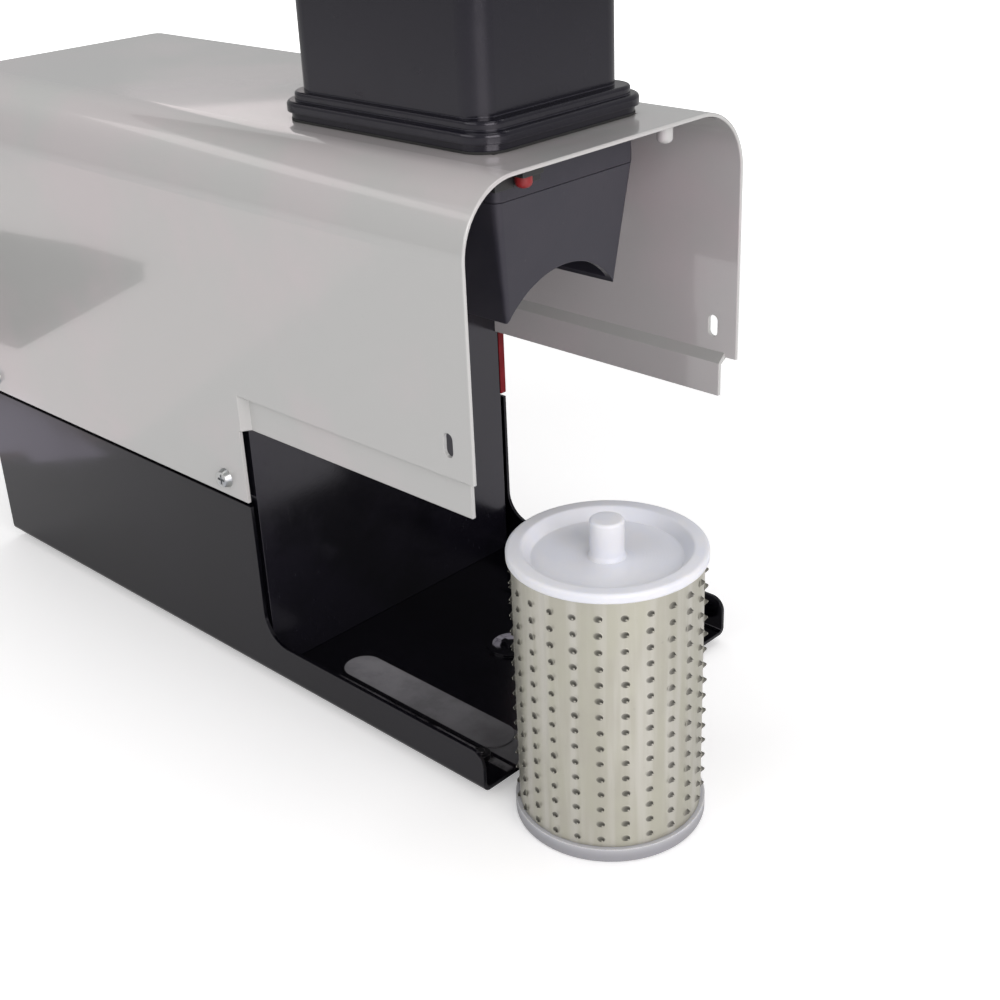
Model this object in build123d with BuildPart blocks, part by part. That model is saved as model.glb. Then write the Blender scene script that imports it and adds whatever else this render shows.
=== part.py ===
"""Table-top motor grater with its spiked roller taken out: one STEP file for each piece.

Millimetres, +Z up. X runs along the machine towards the open front bay, and X = 0 is the
front face of the bulkhead between motor room and bay. Pieces are moved at export so that the
origin is the middle of the whole set, on the table.
"""

import os
from math import cos, radians, sin

from build123d import *

os.makedirs("parts", exist_ok=True)

# Sheet-metal body
width = 150.0
half = width / 2
sheet = 1.5
base_bottom = 4.0
floor_z = base_bottom + sheet
base_rear, tray_front = -212.0, 127.2
tray_wall_z = 21.0
wall_top = 83.5
tab_rear, tab_front, tab_top = -204.0, -8.0, 100.0
tab_out = half - sheet - 0.3
cover_rear, cover_front = -213.0, 130.5
skirt_z, strip_z, joggle_z, top_z = 85.0, 117.0, 133.0, 234.0
corner_r = 25.0
panel_front, strip_front, strip_end = -1.3, 0.1, 125.0
strip_out = half - 3.8
ceiling = top_z - sheet
bulk_half, bulk_top = 71.4, 230.4
side_screw_x = (-14.6, -198.0)
side_screw_z = 92.6
guard_slot = (119.0, 144.5)
peg_x, peg_y, peg_r, peg_tip = 122.5, 37.2, 3.0, 225.0
bezel = -214.5

# Feet
feet = [(x, y) for x in (-190.0, 112.0) for y in (-61.0, 61.0)]

# Hopper
hop_rear, hop_front, hop_half = 2.0, 112.0, 43.5
col_rear, col_front, col_half = 16.0, 109.0, 37.0
seam_z, tip_z, tip_half = 217.0, 171.5, 29.0
mouth_rear, mouth_front, mouth_half, mouth_top = 8.0, 103.5, 38.0, 300.0
hop_screws = [(x, y) for x in (30.0, 88.0) for y in (-39.9, 39.9)]
pivot_x, pivot_z = -12.0, 305.0
grip_z = 305.7

# Drive, on the roller's working axis
axis_z = 150.4
arch_r = 36.0
shaft_r = 6.0
stator_r = 55.0
tie_r = 59.0

# Roller, standing on the table in front of the tray
roller_x, roller_y = 162.8, -44.6
cap_r, shell_r = 35.0, 33.4
roller_len, stub_len, stub_r = 109.0, 119.0, 6.0
shell_low, shell_high = 6.0, 105.6
spike_columns, spike_rows, spike_pitch = 24, 15, 6.4
spike_turn, spike_first = 4.8, 10.2

centre_x = (bezel + roller_x + cap_r) / 2
centre_y = (roller_y - cap_r + half + 2.6) / 2

UP = (Align.CENTER, Align.CENTER, Align.MIN)


def save(builder, label):
    placed = builder.part.moved(Location((-centre_x, -centre_y, 0)))
    placed.label = label
    export_step(placed, f"parts/{label}.step")


def block(x0, x1, y0, y1, z0, z1, mode=Mode.ADD):
    with Locations(((x0 + x1) / 2, (y0 + y1) / 2, (z0 + z1) / 2)):
        Box(abs(x1 - x0), abs(y1 - y0), z1 - z0, mode=mode)


def rod_x(r, x0, x1, y=0.0, z=axis_z, mode=Mode.ADD):
    with Locations(((x0 + x1) / 2, y, z)):
        Cylinder(r, x1 - x0, rotation=(0, 90, 0), mode=mode)


def arch(half_width, low, high, radius, x0, x1, mode=Mode.ADD):
    """A block along X whose two top edges are rounded."""
    with BuildSketch(Plane.YZ.offset(x0)) as outline:
        with Locations((0, low)):
            Rectangle(2 * half_width, high - low, align=(Align.CENTER, Align.MIN))
        fillet(vertices().group_by(Axis.Y)[-1], radius)
    extrude(outline.sketch, amount=x1 - x0, mode=mode)


# --- Base: one folded sheet, with the open tray in front ---
with BuildPart() as base:
    with BuildSketch(Plane.YZ.offset(base_rear)):
        with Locations((0, base_bottom)):
            Rectangle(width, wall_top - base_bottom, align=(Align.CENTER, Align.MIN))
        fillet(vertices().group_by(Axis.Y)[0], 3.0)
    extrude(amount=tray_front - base_rear)
    with BuildSketch(Plane.YZ.offset(base_rear)):
        with Locations((0, floor_z)):
            Rectangle(width - 2 * sheet, wall_top, align=(Align.CENTER, Align.MIN))
        fillet(vertices().group_by(Axis.Y)[0], 1.5)
    extrude(amount=tray_front - base_rear, mode=Mode.SUBTRACT)
    with BuildSketch(Plane.XZ):
        with BuildLine():
            Polyline(
                (base_rear, base_bottom),
                (tray_front, base_bottom),
                (tray_front, tray_wall_z),
                (0, tray_wall_z),
                (0, wall_top),
                (base_rear, wall_top),
                close=True,
            )
        make_face()
        fillet(vertices().filter_by_position(Axis.X, -1, 1).group_by(Axis.Y)[0], 13.0)
        fillet(vertices().group_by(Axis.X)[-1].group_by(Axis.Y)[-1], 6.0)
    extrude(amount=width, both=True, mode=Mode.INTERSECT)
    for side in (-1, 1):
        # inward tab behind the cover's skirt
        with BuildSketch(Plane.YZ.offset(tab_rear)):
            with BuildLine():
                Polyline(
                    (side * (half - 1.0), 76.0),
                    (side * (half - 1.0), 80.0),
                    (side * tab_out, 82.0),
                    (side * tab_out, tab_top),
                    (side * (tab_out - sheet), tab_top),
                    (side * (tab_out - sheet), 80.5),
                    (side * (half - sheet), 76.0),
                    close=True,
                )
            make_face()
        extrude(amount=tab_front - tab_rear)
        # ear that takes the rear panel's lower screw
        block(-209.8, -208.3, side * 60.0, side * (half - 1.0), 14.0, 34.0)
        rod_x(1.8, -212.0, -206.0, side * 66.0, 24.0, Mode.SUBTRACT)
        # runner pressed up from the tray's floor
        with BuildSketch(Plane.XY.offset(floor_z - 0.5)):
            with Locations((67.0, side * 47.8)):
                SlotOverall(94.0, 17.6)
        extrude(amount=1.1)
    # pressed ring with a welded stud in the tray's floor
    with BuildSketch(Plane.XY.offset(floor_z - 0.5)):
        with Locations((64.5, 6.0)):
            Circle(10.5)
            Circle(7.5, mode=Mode.SUBTRACT)
            Circle(2.2)
            Rectangle(16.0, 2.4)
    extrude(amount=1.7)
    for x in side_screw_x:
        with Locations((x, 0, side_screw_z)):
            Cylinder(1.9, 2 * width, rotation=(90, 0, 0), mode=Mode.SUBTRACT)
    for x, y in feet:
        with Locations((x, y, 0)):
            Cylinder(1.8, 12.0, align=UP, mode=Mode.SUBTRACT)
    # floor vents under the motor
    with BuildSketch(Plane.XY):
        for x in range(-136, -75, 10):
            for y in (-30.0, 30.0):
                with Locations((x, y)):
                    SlotOverall(36.0, 3.6, rotation=90)
    extrude(amount=20.0, mode=Mode.SUBTRACT)
    for x in (-135.0, -75.0):
        for y in (-54.0, 54.0):
            with Locations((x, y, 0)):
                Cylinder(2.3, 12.0, align=UP, mode=Mode.SUBTRACT)
save(base, "base")

# --- Bulkhead, a folded plate with a rearward flange ---
with BuildPart() as bulkhead:
    arch(bulk_half, floor_z + 0.1, bulk_top, 21.4, -10.5, 0.0)
    arch(bulk_half - sheet, floor_z - 5.0, bulk_top - sheet, 19.9, -10.5, -sheet, Mode.SUBTRACT)
    block(-10.5, -sheet, -66.0, 66.0, floor_z + 0.1, floor_z + 0.1 + sheet)
    rod_x(13.0, -5.0, 5.0, mode=Mode.SUBTRACT)
    for y in (-45.0, 45.0):
        for z in (120.0, 180.0):
            rod_x(2.6, -5.0, 5.0, y, z, Mode.SUBTRACT)
save(bulkhead, "bulkhead")

with BuildPart() as bulkhead_rivets:
    for y in (-45.0, 45.0):
        for z in (120.0, 180.0):
            rod_x(2.4, -3.0, 0.2, y, z)
            with BuildSketch(Plane.YZ.offset(0.0)):
                with Locations((y, z)):
                    Circle(4.2)
            extrude(amount=1.3, taper=32)
save(bulkhead_rivets, "bulkhead_rivets")

with BuildPart() as bulkhead_gasket:
    arch(half - sheet - 0.1, skirt_z + 0.8, ceiling - 0.1, 23.4, -7.0, -0.6)
    arch(bulk_half + 0.05, skirt_z - 5.0, bulk_top + 0.05, 21.4, -7.0, -0.6, Mode.SUBTRACT)
    block(-7.0, -0.6, -80.0, -60.0, 80.0, strip_z + 2.0, Mode.SUBTRACT)
    # bulb along the far panel's open edge
    block(panel_front + 0.1, 0.4, bulk_half + 0.1, half - 0.2, skirt_z + 0.8, strip_z - 0.3)
save(bulkhead_gasket, "bulkhead_gasket")

with BuildPart() as shaft_seal:
    rod_x(12.9, -4.0, 0.0)
    rod_x(16.0, 0.0, 1.6)
    rod_x(shaft_r + 0.4, -6.0, 3.0, mode=Mode.SUBTRACT)
save(shaft_seal, "shaft_seal")

# --- Rear panel with louvres, mains inlet and switch ---
inlet_y, switch_y, panel_z = -34.0, 34.0, 44.0
rocker_x, rocker_tilt = -206.5, 6.0
with BuildPart() as rear_panel:
    arch(half - sheet - 0.2, floor_z + 0.1, ceiling - 0.2, 23.3, -211.5, -209.9)
    for side in (-1, 1):
        block(-213.0, -209.0, side * 71.3, side * 74.0, floor_z - 1.0, floor_z + 2.2, Mode.SUBTRACT)
    with BuildSketch(Plane.YZ.offset(-220.0)):
        for z in range(96, 209, 9):
            with Locations((0, z)):
                SlotOverall(78.0, 3.6)
        with Locations((inlet_y, panel_z)):
            Rectangle(27.4, 20.4)
        with Locations((switch_y, panel_z)):
            Rectangle(19.4, 26.4)
        for side in (-1, 1):
            with Locations((side * 66.0, 24.0), (side * 66.0, 161.0)):
                Circle(1.9)
    extrude(amount=20.0, mode=Mode.SUBTRACT)
    for z in range(96, 209, 9):
        # pressed lip over each louvre
        with BuildSketch(Plane.XZ.offset(-38.0)):
            with BuildLine():
                Polyline(
                    (-211.2, z + 4.2), (-212.9, z + 1.2), (-212.9, z + 0.4), (-211.2, z + 2.2),
                    close=True,
                )
            make_face()
        extrude(amount=76.0)
save(rear_panel, "rear_panel")

with BuildPart() as rear_panel_screws:
    for side in (-1, 1):
        for z in (24.0, 161.0):
            rod_x(1.6, -212.0, -204.0, side * 66.0, z)
            with BuildSketch(Plane.YZ.offset(-211.6)):
                with Locations((side * 66.0, z)):
                    Circle(3.6)
            extrude(amount=-2.0, taper=18)
            block(-214.0, -212.6, side * 66.0 - 2.0, side * 66.0 + 2.0, z - 0.5, z + 0.5, Mode.SUBTRACT)
            block(-214.0, -212.6, side * 66.0 - 0.5, side * 66.0 + 0.5, z - 2.0, z + 2.0, Mode.SUBTRACT)
save(rear_panel_screws, "rear_panel_screws")

with BuildPart() as inlet_socket:
    with BuildSketch(Plane.YZ.offset(-211.6)):
        with Locations((inlet_y, panel_z)):
            RectangleRounded(34.0, 26.0, 3.0)
    extrude(amount=-2.9)
    block(-211.7, -186.0, inlet_y - 13.5, inlet_y + 13.5, panel_z - 10.0, panel_z + 10.0)
    with BuildSketch(Plane.YZ.offset(-216.0)):
        corners = ((-12.0, -8.0), (12.0, -8.0), (12.0, 4.5), (8.5, 8.0), (-8.5, 8.0), (-12.0, 4.5))
        with BuildLine():
            Polyline(*[(inlet_y + y, panel_z + z) for y, z in corners], close=True)
        make_face()
    extrude(amount=22.0, mode=Mode.SUBTRACT)
save(inlet_socket, "inlet_socket")

with BuildPart() as inlet_pins:
    for y, z in ((-7.0, -2.0), (7.0, -2.0), (0.0, 2.0)):
        block(-208.5, -194.0, inlet_y + y - 1.0, inlet_y + y + 1.0, panel_z + z - 2.0, panel_z + z + 2.0)
save(inlet_pins, "inlet_pins")

with BuildPart() as switch_body:
    with BuildSketch(Plane.YZ.offset(-211.6)):
        with Locations((switch_y, panel_z)):
            RectangleRounded(24.0, 31.0, 2.0)
    extrude(amount=-2.9)
    block(-211.7, -188.0, switch_y - 9.5, switch_y + 9.5, panel_z - 13.0, panel_z + 13.0)
    block(-216.0, -202.0, switch_y - 7.5, switch_y + 7.5, panel_z - 11.0, panel_z + 11.0, Mode.SUBTRACT)
    for y in (-5.0, 5.0):
        block(-188.0, -180.0, switch_y + y - 0.4, switch_y + y + 0.4, panel_z - 3.0, panel_z + 3.0)
    with Locations((rocker_x, switch_y, panel_z)):
        Cylinder(1.56, 17.4, rotation=(90, 0, 0), mode=Mode.SUBTRACT)
save(switch_body, "switch_body")

with BuildPart() as rocker:
    with BuildSketch(Plane.XZ.offset(-(switch_y - 6.9))):
        with BuildLine():
            Polyline(
                (-205.5, -6.0), (-213.0, -9.3), (-212.1, 0.0), (-213.0, 9.3), (-205.5, 6.0),
                close=True,
            )
        make_face()
    extrude(amount=-13.8)
    fillet(edges().filter_by(Axis.Y).group_by(Axis.X)[0], 0.6)
    with Locations((rocker_x, switch_y, 0)):
        Cylinder(1.5, 17.0, rotation=(90, 0, 0))
rocker.part = rocker.part.rotate(Axis((rocker_x, 0, 0), (0, 1, 0)), rocker_tilt).moved(
    Location((0, 0, panel_z))
)
save(rocker, "rocker")

# --- Cover: one bent sheet, cut up at the bay, with joggled lower strips ---
with BuildPart() as cover:
    arch(half, skirt_z, top_z, corner_r, cover_rear, cover_front)
    arch(half - sheet, skirt_z - 5.0, ceiling, corner_r - sheet, cover_rear, cover_front, Mode.SUBTRACT)
    block(panel_front, 140.0, -80.0, 80.0, 80.0, joggle_z - 0.5, Mode.SUBTRACT)
    fillet(edges().group_by(Axis.X)[-1].filter_by(lambda e: e.length > 5.0), 0.55)
    for side in (-1, 1):
        with BuildSketch(Plane.YZ.offset(strip_front)):
            with BuildLine():
                Polyline(
                    (side * half, joggle_z + 1.2),
                    (side * half, joggle_z - 0.6),
                    (side * strip_out, joggle_z - 3.0),
                    (side * strip_out, strip_z),
                    (side * (strip_out - sheet), strip_z),
                    (side * (strip_out - sheet), joggle_z - 2.2),
                    (side * (half - sheet), joggle_z + 1.2),
                    close=True,
                )
            make_face()
        extrude(amount=strip_end - strip_front)
        # sloped web that closes the strip's rear end
        with BuildSketch(Plane.XY.offset(strip_z)):
            with BuildLine():
                Polyline(
                    (panel_front, side * half),
                    (strip_front - 0.3, side * half),
                    (strip_front + 2.1, side * strip_out),
                    (strip_front + 2.1, side * (strip_out - sheet)),
                    (strip_front, side * (strip_out - sheet)),
                    (strip_front, side * (half - 2.4)),
                    (strip_front - 0.5, side * (half - sheet)),
                    (panel_front, side * (half - sheet)),
                    close=True,
                )
            make_face()
        extrude(amount=joggle_z - 0.5 - strip_z)
        # ear that takes the rear panel's upper screw
        block(-209.6, -208.1, side * 60.0, side * (half - 1.0), 151.0, 171.0)
        rod_x(1.8, -212.0, -206.0, side * 66.0, 161.0, Mode.SUBTRACT)
    with BuildSketch(Plane.XZ):
        with Locations(guard_slot):
            SlotOverall(9.0, 4.5, rotation=90)
        for x in side_screw_x:
            with Locations((x, side_screw_z)):
                Circle(2.2)
    extrude(amount=width, both=True, mode=Mode.SUBTRACT)
    block(col_rear - 0.6, col_front + 0.6, -col_half - 0.6, col_half + 0.6, 225.0, 240.0, Mode.SUBTRACT)
    for x, y in hop_screws:
        with Locations((x, y, 225.0)):
            Cylinder(1.6, 12.0, align=UP, mode=Mode.SUBTRACT)
save(cover, "cover")

with BuildPart() as cover_screws:
    for side in (-1, 1):
        for x in side_screw_x:
            with Locations((x, side * (half - 3.5), side_screw_z)):
                Cylinder(1.7, 9.0, rotation=(90, 0, 0))
            with BuildSketch(Plane.XZ.offset(-side * half)):
                with Locations((x, side_screw_z)):
                    Circle(4.2)
            extrude(amount=-side * 2.6, taper=20)
            y0, y1 = side * (half + 1.2), side * (half + 4.0)
            block(x - 2.2, x + 2.2, y0, y1, side_screw_z - 0.55, side_screw_z + 0.55, Mode.SUBTRACT)
            block(x - 0.55, x + 0.55, y0, y1, side_screw_z - 2.2, side_screw_z + 2.2, Mode.SUBTRACT)
save(cover_screws, "cover_screws")

# --- Pegs under the cover's front edge ---
with BuildPart() as fixed_peg:
    with Locations((peg_x, peg_y, peg_tip)):
        Cylinder(peg_r, ceiling - peg_tip, align=UP)
    fillet(edges().group_by(Axis.Z)[0], 2.0)
save(fixed_peg, "fixed_peg")

with BuildPart() as interlock_plunger:
    with Locations((peg_x, -peg_y, peg_tip)):
        Cylinder(peg_r, 5.4, align=UP)
    fillet(edges().group_by(Axis.Z)[0], 2.0)
save(interlock_plunger, "interlock_plunger")

with BuildPart() as interlock_switch:
    block(110.4, 120.0, -peg_y - 11.0, -peg_y + 11.0, 225.0, ceiling - 0.1)
    block(118.0, 127.0, -peg_y - 5.0, -peg_y + 5.0, 229.6, ceiling - 0.1)
    with Locations((peg_x, -peg_y, 224.0)):
        Cylinder(peg_r + 0.08, 8.2, align=UP, mode=Mode.SUBTRACT)
    for y in (-7.0, 7.0):
        rod_x(1.4, 109.6, 110.6, -peg_y + y, 228.5)
save(interlock_switch, "interlock_switch")

# --- Hopper on top of the cover ---
def round_plate(x0, x1, half_y, z0, z1, radius, mode=Mode.ADD):
    with BuildSketch(Plane.XY.offset(z0)) as outline:
        with Locations(((x0 + x1) / 2, 0)):
            RectangleRounded(x1 - x0, 2 * half_y, radius)
    extrude(outline.sketch, amount=z1 - z0, mode=mode)


with BuildPart() as hopper_gasket:
    round_plate(hop_rear + 1.4, hop_front - 1.4, hop_half - 1.2, top_z, top_z + 0.9, 11.0)
    round_plate(col_rear - 0.6, col_front + 0.4, col_half + 0.6, top_z - 1, top_z + 2, 2.0, Mode.SUBTRACT)
    for x, y in hop_screws:
        with Locations((x, y, top_z - 1.0)):
            Cylinder(1.6, 4.0, align=UP, mode=Mode.SUBTRACT)
save(hopper_gasket, "hopper_gasket")

with BuildPart() as hopper_body:
    flange_z = top_z + 0.9
    round_plate(hop_rear + 1.6, hop_front - 1.6, hop_half - 1.4, flange_z, flange_z + 3.0, 10.8)
    round_plate(hop_rear, hop_front, hop_half, flange_z + 2.6, 241.4, 12.0)
    fillet(edges().group_by(Axis.Z)[-1], 1.6)
    round_plate(hop_rear + 3.0, hop_front - 3.0, hop_half - 3.0, 241.0, 244.5, 9.5)
    fillet(edges().group_by(Axis.Z)[-1], 1.2)
    round_plate(col_rear, col_front, col_half, seam_z, flange_z + 1.0, 3.5)
    round_plate(mouth_rear, mouth_front, mouth_half, 244.0, mouth_top, 9.0)
    round_plate(mouth_rear - 3.0, mouth_front + 3.0, mouth_half + 3.0, 295.0, mouth_top, 12.0)
    fillet(edges().group_by(Axis.Z)[-1], 1.2)
    round_plate(mouth_rear + 3.5, mouth_front - 3.5, mouth_half - 3.5, 236.0, 310.0, 6.0, Mode.SUBTRACT)
    round_plate(col_rear + 2.6, col_front - 2.6, col_half - 2.6, seam_z - 5, 237.0, 2.5, Mode.SUBTRACT)
    for side in (-1, 1):
        # ears that carry the lever's pin
        with BuildSketch(Plane.XZ.offset(-side * 17.0)):
            with BuildLine():
                Polyline(
                    (mouth_rear + 1.0, 262.0), (pivot_x - 3.0, pivot_z - 9.0), (pivot_x - 9.0, pivot_z),
                    (pivot_x, pivot_z + 9.0), (pivot_x + 8.0, pivot_z + 4.0), (mouth_rear + 1.0, 296.0),
                    close=True,
                )
            make_face()
        extrude(amount=-side * 6.0)
    with Locations((pivot_x, 0, pivot_z)):
        Cylinder(4.1, 60.0, rotation=(90, 0, 0), mode=Mode.SUBTRACT)
    for x, y in hop_screws:
        with Locations((x, y, flange_z)):
            Cylinder(1.3, 5.0, align=UP, mode=Mode.SUBTRACT)
save(hopper_body, "hopper_body")

with BuildPart() as hopper_screws:
    for x, y in hop_screws:
        with Locations((x, y, ceiling - 0.5)):
            Cylinder(1.2, 7.0, align=UP)
        with Locations((x, y, ceiling - 2.0)):
            Cylinder(2.6, 1.9, align=UP)
    fillet(edges().group_by(Axis.Z)[0], 0.7)
save(hopper_screws, "hopper_screws")

# --- Throat: tapers down to two tips over the roller's arch ---
with BuildPart() as hopper_throat:
    for inset, mode in ((0.0, Mode.ADD), (2.6, Mode.SUBTRACT)):
        with BuildSketch(Plane.XY.offset(seam_z - 0.3)):
            with Locations(((col_rear + col_front) / 2, 0)):
                RectangleRounded(
                    col_front - col_rear - 0.4 - 2 * inset, 2 * (col_half - 0.2 - inset), 3.2 - inset / 2
                )
        with BuildSketch(Plane.XY.offset(tip_z - (0.0 if mode == Mode.ADD else 0.01))):
            with Locations(((18.0 + 105.0) / 2, 0)):
                RectangleRounded(87.0 - 2 * inset, 2 * (tip_half + 0.6 - inset), 1.7 - inset / 2)
        loft(mode=mode)
    rod_x(arch_r, -10.0, 140.0, mode=Mode.SUBTRACT)
save(hopper_throat, "hopper_throat")

# --- Press lever with its pusher, resting down on the mouth ---
with BuildPart() as press_lever:
    with Locations((pivot_x, 0, pivot_z)):
        Cylinder(9.0, 33.0, rotation=(90, 0, 0))
    with BuildSketch(Plane.XZ.offset(-8.0)):
        with BuildLine():
            Polyline(
                (pivot_x - 4.0, pivot_z + 7.5), (20.0, 311.0), (118.0, 311.0), (118.0, 300.4),
                (0.0, 300.4), (pivot_x + 2.0, pivot_z - 6.0),
                close=True,
            )
        make_face()
    extrude(amount=16.0)
    rod_x(4.5, 116.0, 150.0, 0.0, grip_z)
    fillet(edges().filter_by(Axis.X).filter_by(lambda e: e.length > 60.0), 2.5)
    with Locations((pivot_x, 0, pivot_z)):
        Cylinder(4.05, 60.0, rotation=(90, 0, 0), mode=Mode.SUBTRACT)
    for x in (46.0, 74.0):
        with Locations((x, 0, 296.0)):
            Cylinder(1.7, 12.0, align=UP, mode=Mode.SUBTRACT)
save(press_lever, "press_lever")

with BuildPart() as lever_grip:
    with BuildSketch(Plane.XZ) as grip_half:
        with BuildLine():
            Line((119.0, grip_z), (119.0, grip_z + 9.5))
            Spline(
                (119.0, grip_z + 9.5), (140.0, grip_z + 13.0), (162.0, grip_z + 11.5), (174.0, grip_z),
                tangents=((1, 0.4), (0, -1)),
            )
            Line((174.0, grip_z), (119.0, grip_z))
        make_face()
    revolve(axis=Axis((0, 0, grip_z), (1, 0, 0)))
    rod_x(4.6, 110.0, 152.0, 0.0, grip_z, Mode.SUBTRACT)
save(lever_grip, "lever_grip")

with BuildPart() as lever_pin:
    with Locations((pivot_x, 0, pivot_z)):
        Cylinder(4.0, 50.0, rotation=(90, 0, 0))
    for side in (-1, 1):
        with Locations((pivot_x, side * 24.5, pivot_z)):
            Cylinder(6.0, 2.6, rotation=(90, 0, 0))
save(lever_pin, "lever_pin")

with BuildPart() as pusher_plate:
    round_plate(24.0, 92.5, 31.5, 279.0, 287.0, 8.0)
    fillet(edges().group_by(Axis.Z)[0], 2.5)
    for x in range(32, 86, 8):
        block(x - 1.2, x + 1.2, -28.0, 28.0, 278.0, 281.0, Mode.SUBTRACT)
    round_plate(40.0, 80.0, 8.0, 286.0, 300.3, 4.0)
    for x in (46.0, 74.0):
        with Locations((x, 0, 289.0)):
            Cylinder(1.7, 14.0, align=UP, mode=Mode.SUBTRACT)
save(pusher_plate, "pusher_plate")

with BuildPart() as pusher_screws:
    for x in (46.0, 74.0):
        with Locations((x, 0, 289.2)):
            Cylinder(1.6, 17.0, align=UP)
save(pusher_screws, "pusher_screws")

# --- Feet ---
with BuildPart() as rubber_feet:
    for x, y in feet:
        with Locations((x, y, 0)):
            Cone(6.4, 7.6, base_bottom, align=UP)
            Cylinder(1.7, 20.0, mode=Mode.SUBTRACT)
            Cylinder(3.8, 1.6, align=UP, mode=Mode.SUBTRACT)
save(rubber_feet, "rubber_feet")

with BuildPart() as foot_screws:
    for x, y in feet:
        with Locations((x, y, 0.4)):
            Cylinder(1.6, 8.6, align=UP)
            Cylinder(3.5, 1.1, align=UP)
        with Locations((x, y, floor_z + 0.05)):
            Cylinder(3.6, 2.3, align=UP)
    fillet(edges().group_by(Axis.Z)[-1], 0.6)
save(foot_screws, "foot_screws")

# --- Motor, its shaft on the roller's axis ---
with BuildPart() as stator_core:
    rod_x(stator_r, -140.0, -72.0)
    rod_x(28.8, -141.0, -71.0, mode=Mode.SUBTRACT)
    with BuildSketch(Plane.YZ.offset(-140.0)):
        with Locations((0, axis_z)):
            with PolarLocations(36.5, 24):
                SlotOverall(11.0, 3.6)
    extrude(amount=68.0, mode=Mode.SUBTRACT)
save(stator_core, "stator_core")

with BuildPart() as stator_windings:
    for x0, x1 in ((-156.0, -140.2), (-71.8, -56.0)):
        rod_x(43.0, x0, x1)
        rod_x(30.5, x0 - 1.0, x1 + 1.0, mode=Mode.SUBTRACT)
    fillet(edges().filter_by(GeomType.CIRCLE).group_by(Axis.X)[0], 4.0)
    fillet(edges().filter_by(GeomType.CIRCLE).group_by(Axis.X)[-1], 4.0)
save(stator_windings, "stator_windings")

with BuildPart() as rotor:
    rod_x(28.3, -139.0, -73.0)
    rod_x(shaft_r + 0.02, -140.0, -72.0, mode=Mode.SUBTRACT)
    with BuildSketch(Plane.YZ.offset(-139.0)):
        with Locations((0, axis_z)):
            with PolarLocations(17.0, 8):
                Circle(3.2)
    extrude(amount=66.0, mode=Mode.SUBTRACT)
save(rotor, "rotor")

with BuildPart() as motor_shaft:
    rod_x(shaft_r, -196.0, 3.5)
    rod_x(5.0, 3.0, 13.0)
    fillet(edges().group_by(Axis.X)[-1], 1.0)
save(motor_shaft, "motor_shaft")

# name, open end of the cup towards the stator, closed end, bearing seat
shields = (("end_shield_front", -71.8, -42.0, -1), ("end_shield_rear", -140.2, -170.0, 1))
for name, x_open, x_end, inward in shields:
    low, high = min(x_open, x_end), max(x_open, x_end)
    with BuildPart() as shield:
        rod_x(54.5, low, high)
        skin = sorted((x_open + inward, x_end + 4.0 * inward))
        rod_x(50.0, skin[0], skin[1], mode=Mode.SUBTRACT)
        seat = sorted((x_end, x_end + 13.0 * inward))
        rod_x(17.0, seat[0], seat[1])
        rod_x(13.02, low - 1, high + 1, mode=Mode.SUBTRACT)
        with BuildSketch(Plane.YZ.offset(x_end)):
            with Locations((0, axis_z)):
                with PolarLocations(33.0, 12):
                    SlotOverall(18.0, 5.0)
        extrude(amount=4.0 * inward, mode=Mode.SUBTRACT)
        ear = sorted((x_end, x_end + 8.0 * inward))
        for angle in (45, 135, 225, 315):
            y, z = tie_r * cos(radians(angle)), axis_z + tie_r * sin(radians(angle))
            rod_x(6.5, ear[0], ear[1], y, z)
            rod_x(2.7, ear[0] - 1, ear[1] + 1, y, z, Mode.SUBTRACT)
    save(shield, name)

with BuildPart() as ball_bearings:
    for x0, x1 in ((-53.0, -42.0), (-170.0, -159.0)):
        rod_x(13.0, x0, x1)
        rod_x(shaft_r + 0.05, x0 - 1, x1 + 1, mode=Mode.SUBTRACT)
        with BuildSketch(Plane.YZ.offset(x0)):
            with Locations((0, axis_z)):
                Circle(10.8)
                Circle(8.4, mode=Mode.SUBTRACT)
        extrude(amount=1.0, mode=Mode.SUBTRACT)
save(ball_bearings, "ball_bearings")

with BuildPart() as tie_bolts:
    for angle in (45, 135, 225, 315):
        y, z = tie_r * cos(radians(angle)), axis_z + tie_r * sin(radians(angle))
        rod_x(2.4, -174.0, -40.0, y, z)
        with BuildSketch(Plane.YZ.offset(-41.9)):
            with Locations((y, z)):
                RegularPolygon(4.6, 6)
        extrude(amount=3.4)
        with BuildSketch(Plane.YZ.offset(-173.5)):
            with Locations((y, z)):
                RegularPolygon(4.6, 6)
        extrude(amount=3.4)
save(tie_bolts, "tie_bolts")

with BuildPart() as cooling_fan:
    rod_x(11.0, -193.0, -177.0)
    rod_x(46.0, -179.0, -177.0)
    with BuildSketch(Plane.YZ.offset(-193.0)):
        with Locations((0, axis_z)):
            with PolarLocations(28.0, 11):
                Rectangle(36.0, 1.8)
    extrude(amount=15.0)
    rod_x(shaft_r + 0.02, -200.0, -170.0, mode=Mode.SUBTRACT)
save(cooling_fan, "cooling_fan")

with BuildPart() as motor_cradle:
    for x0, x1 in ((-138.0, -124.0), (-88.0, -74.0)):
        block(x0, x1, -46.0, 46.0, floor_z + 0.1, 104.0)
        rod_x(stator_r + 0.1, x0 - 1, x1 + 1, mode=Mode.SUBTRACT)
        block(x0 - 1, x1 + 1, -36.0, 36.0, 20.0, 84.0, Mode.SUBTRACT)
    block(-141.0, -69.0, -62.0, 62.0, floor_z + 0.1, 9.5)
    for x in (-135.0, -75.0):
        for y in (-54.0, 54.0):
            with Locations((x, y, 0)):
                Cylinder(2.5, 20.0, align=UP, mode=Mode.SUBTRACT)
save(motor_cradle, "motor_cradle")

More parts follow.
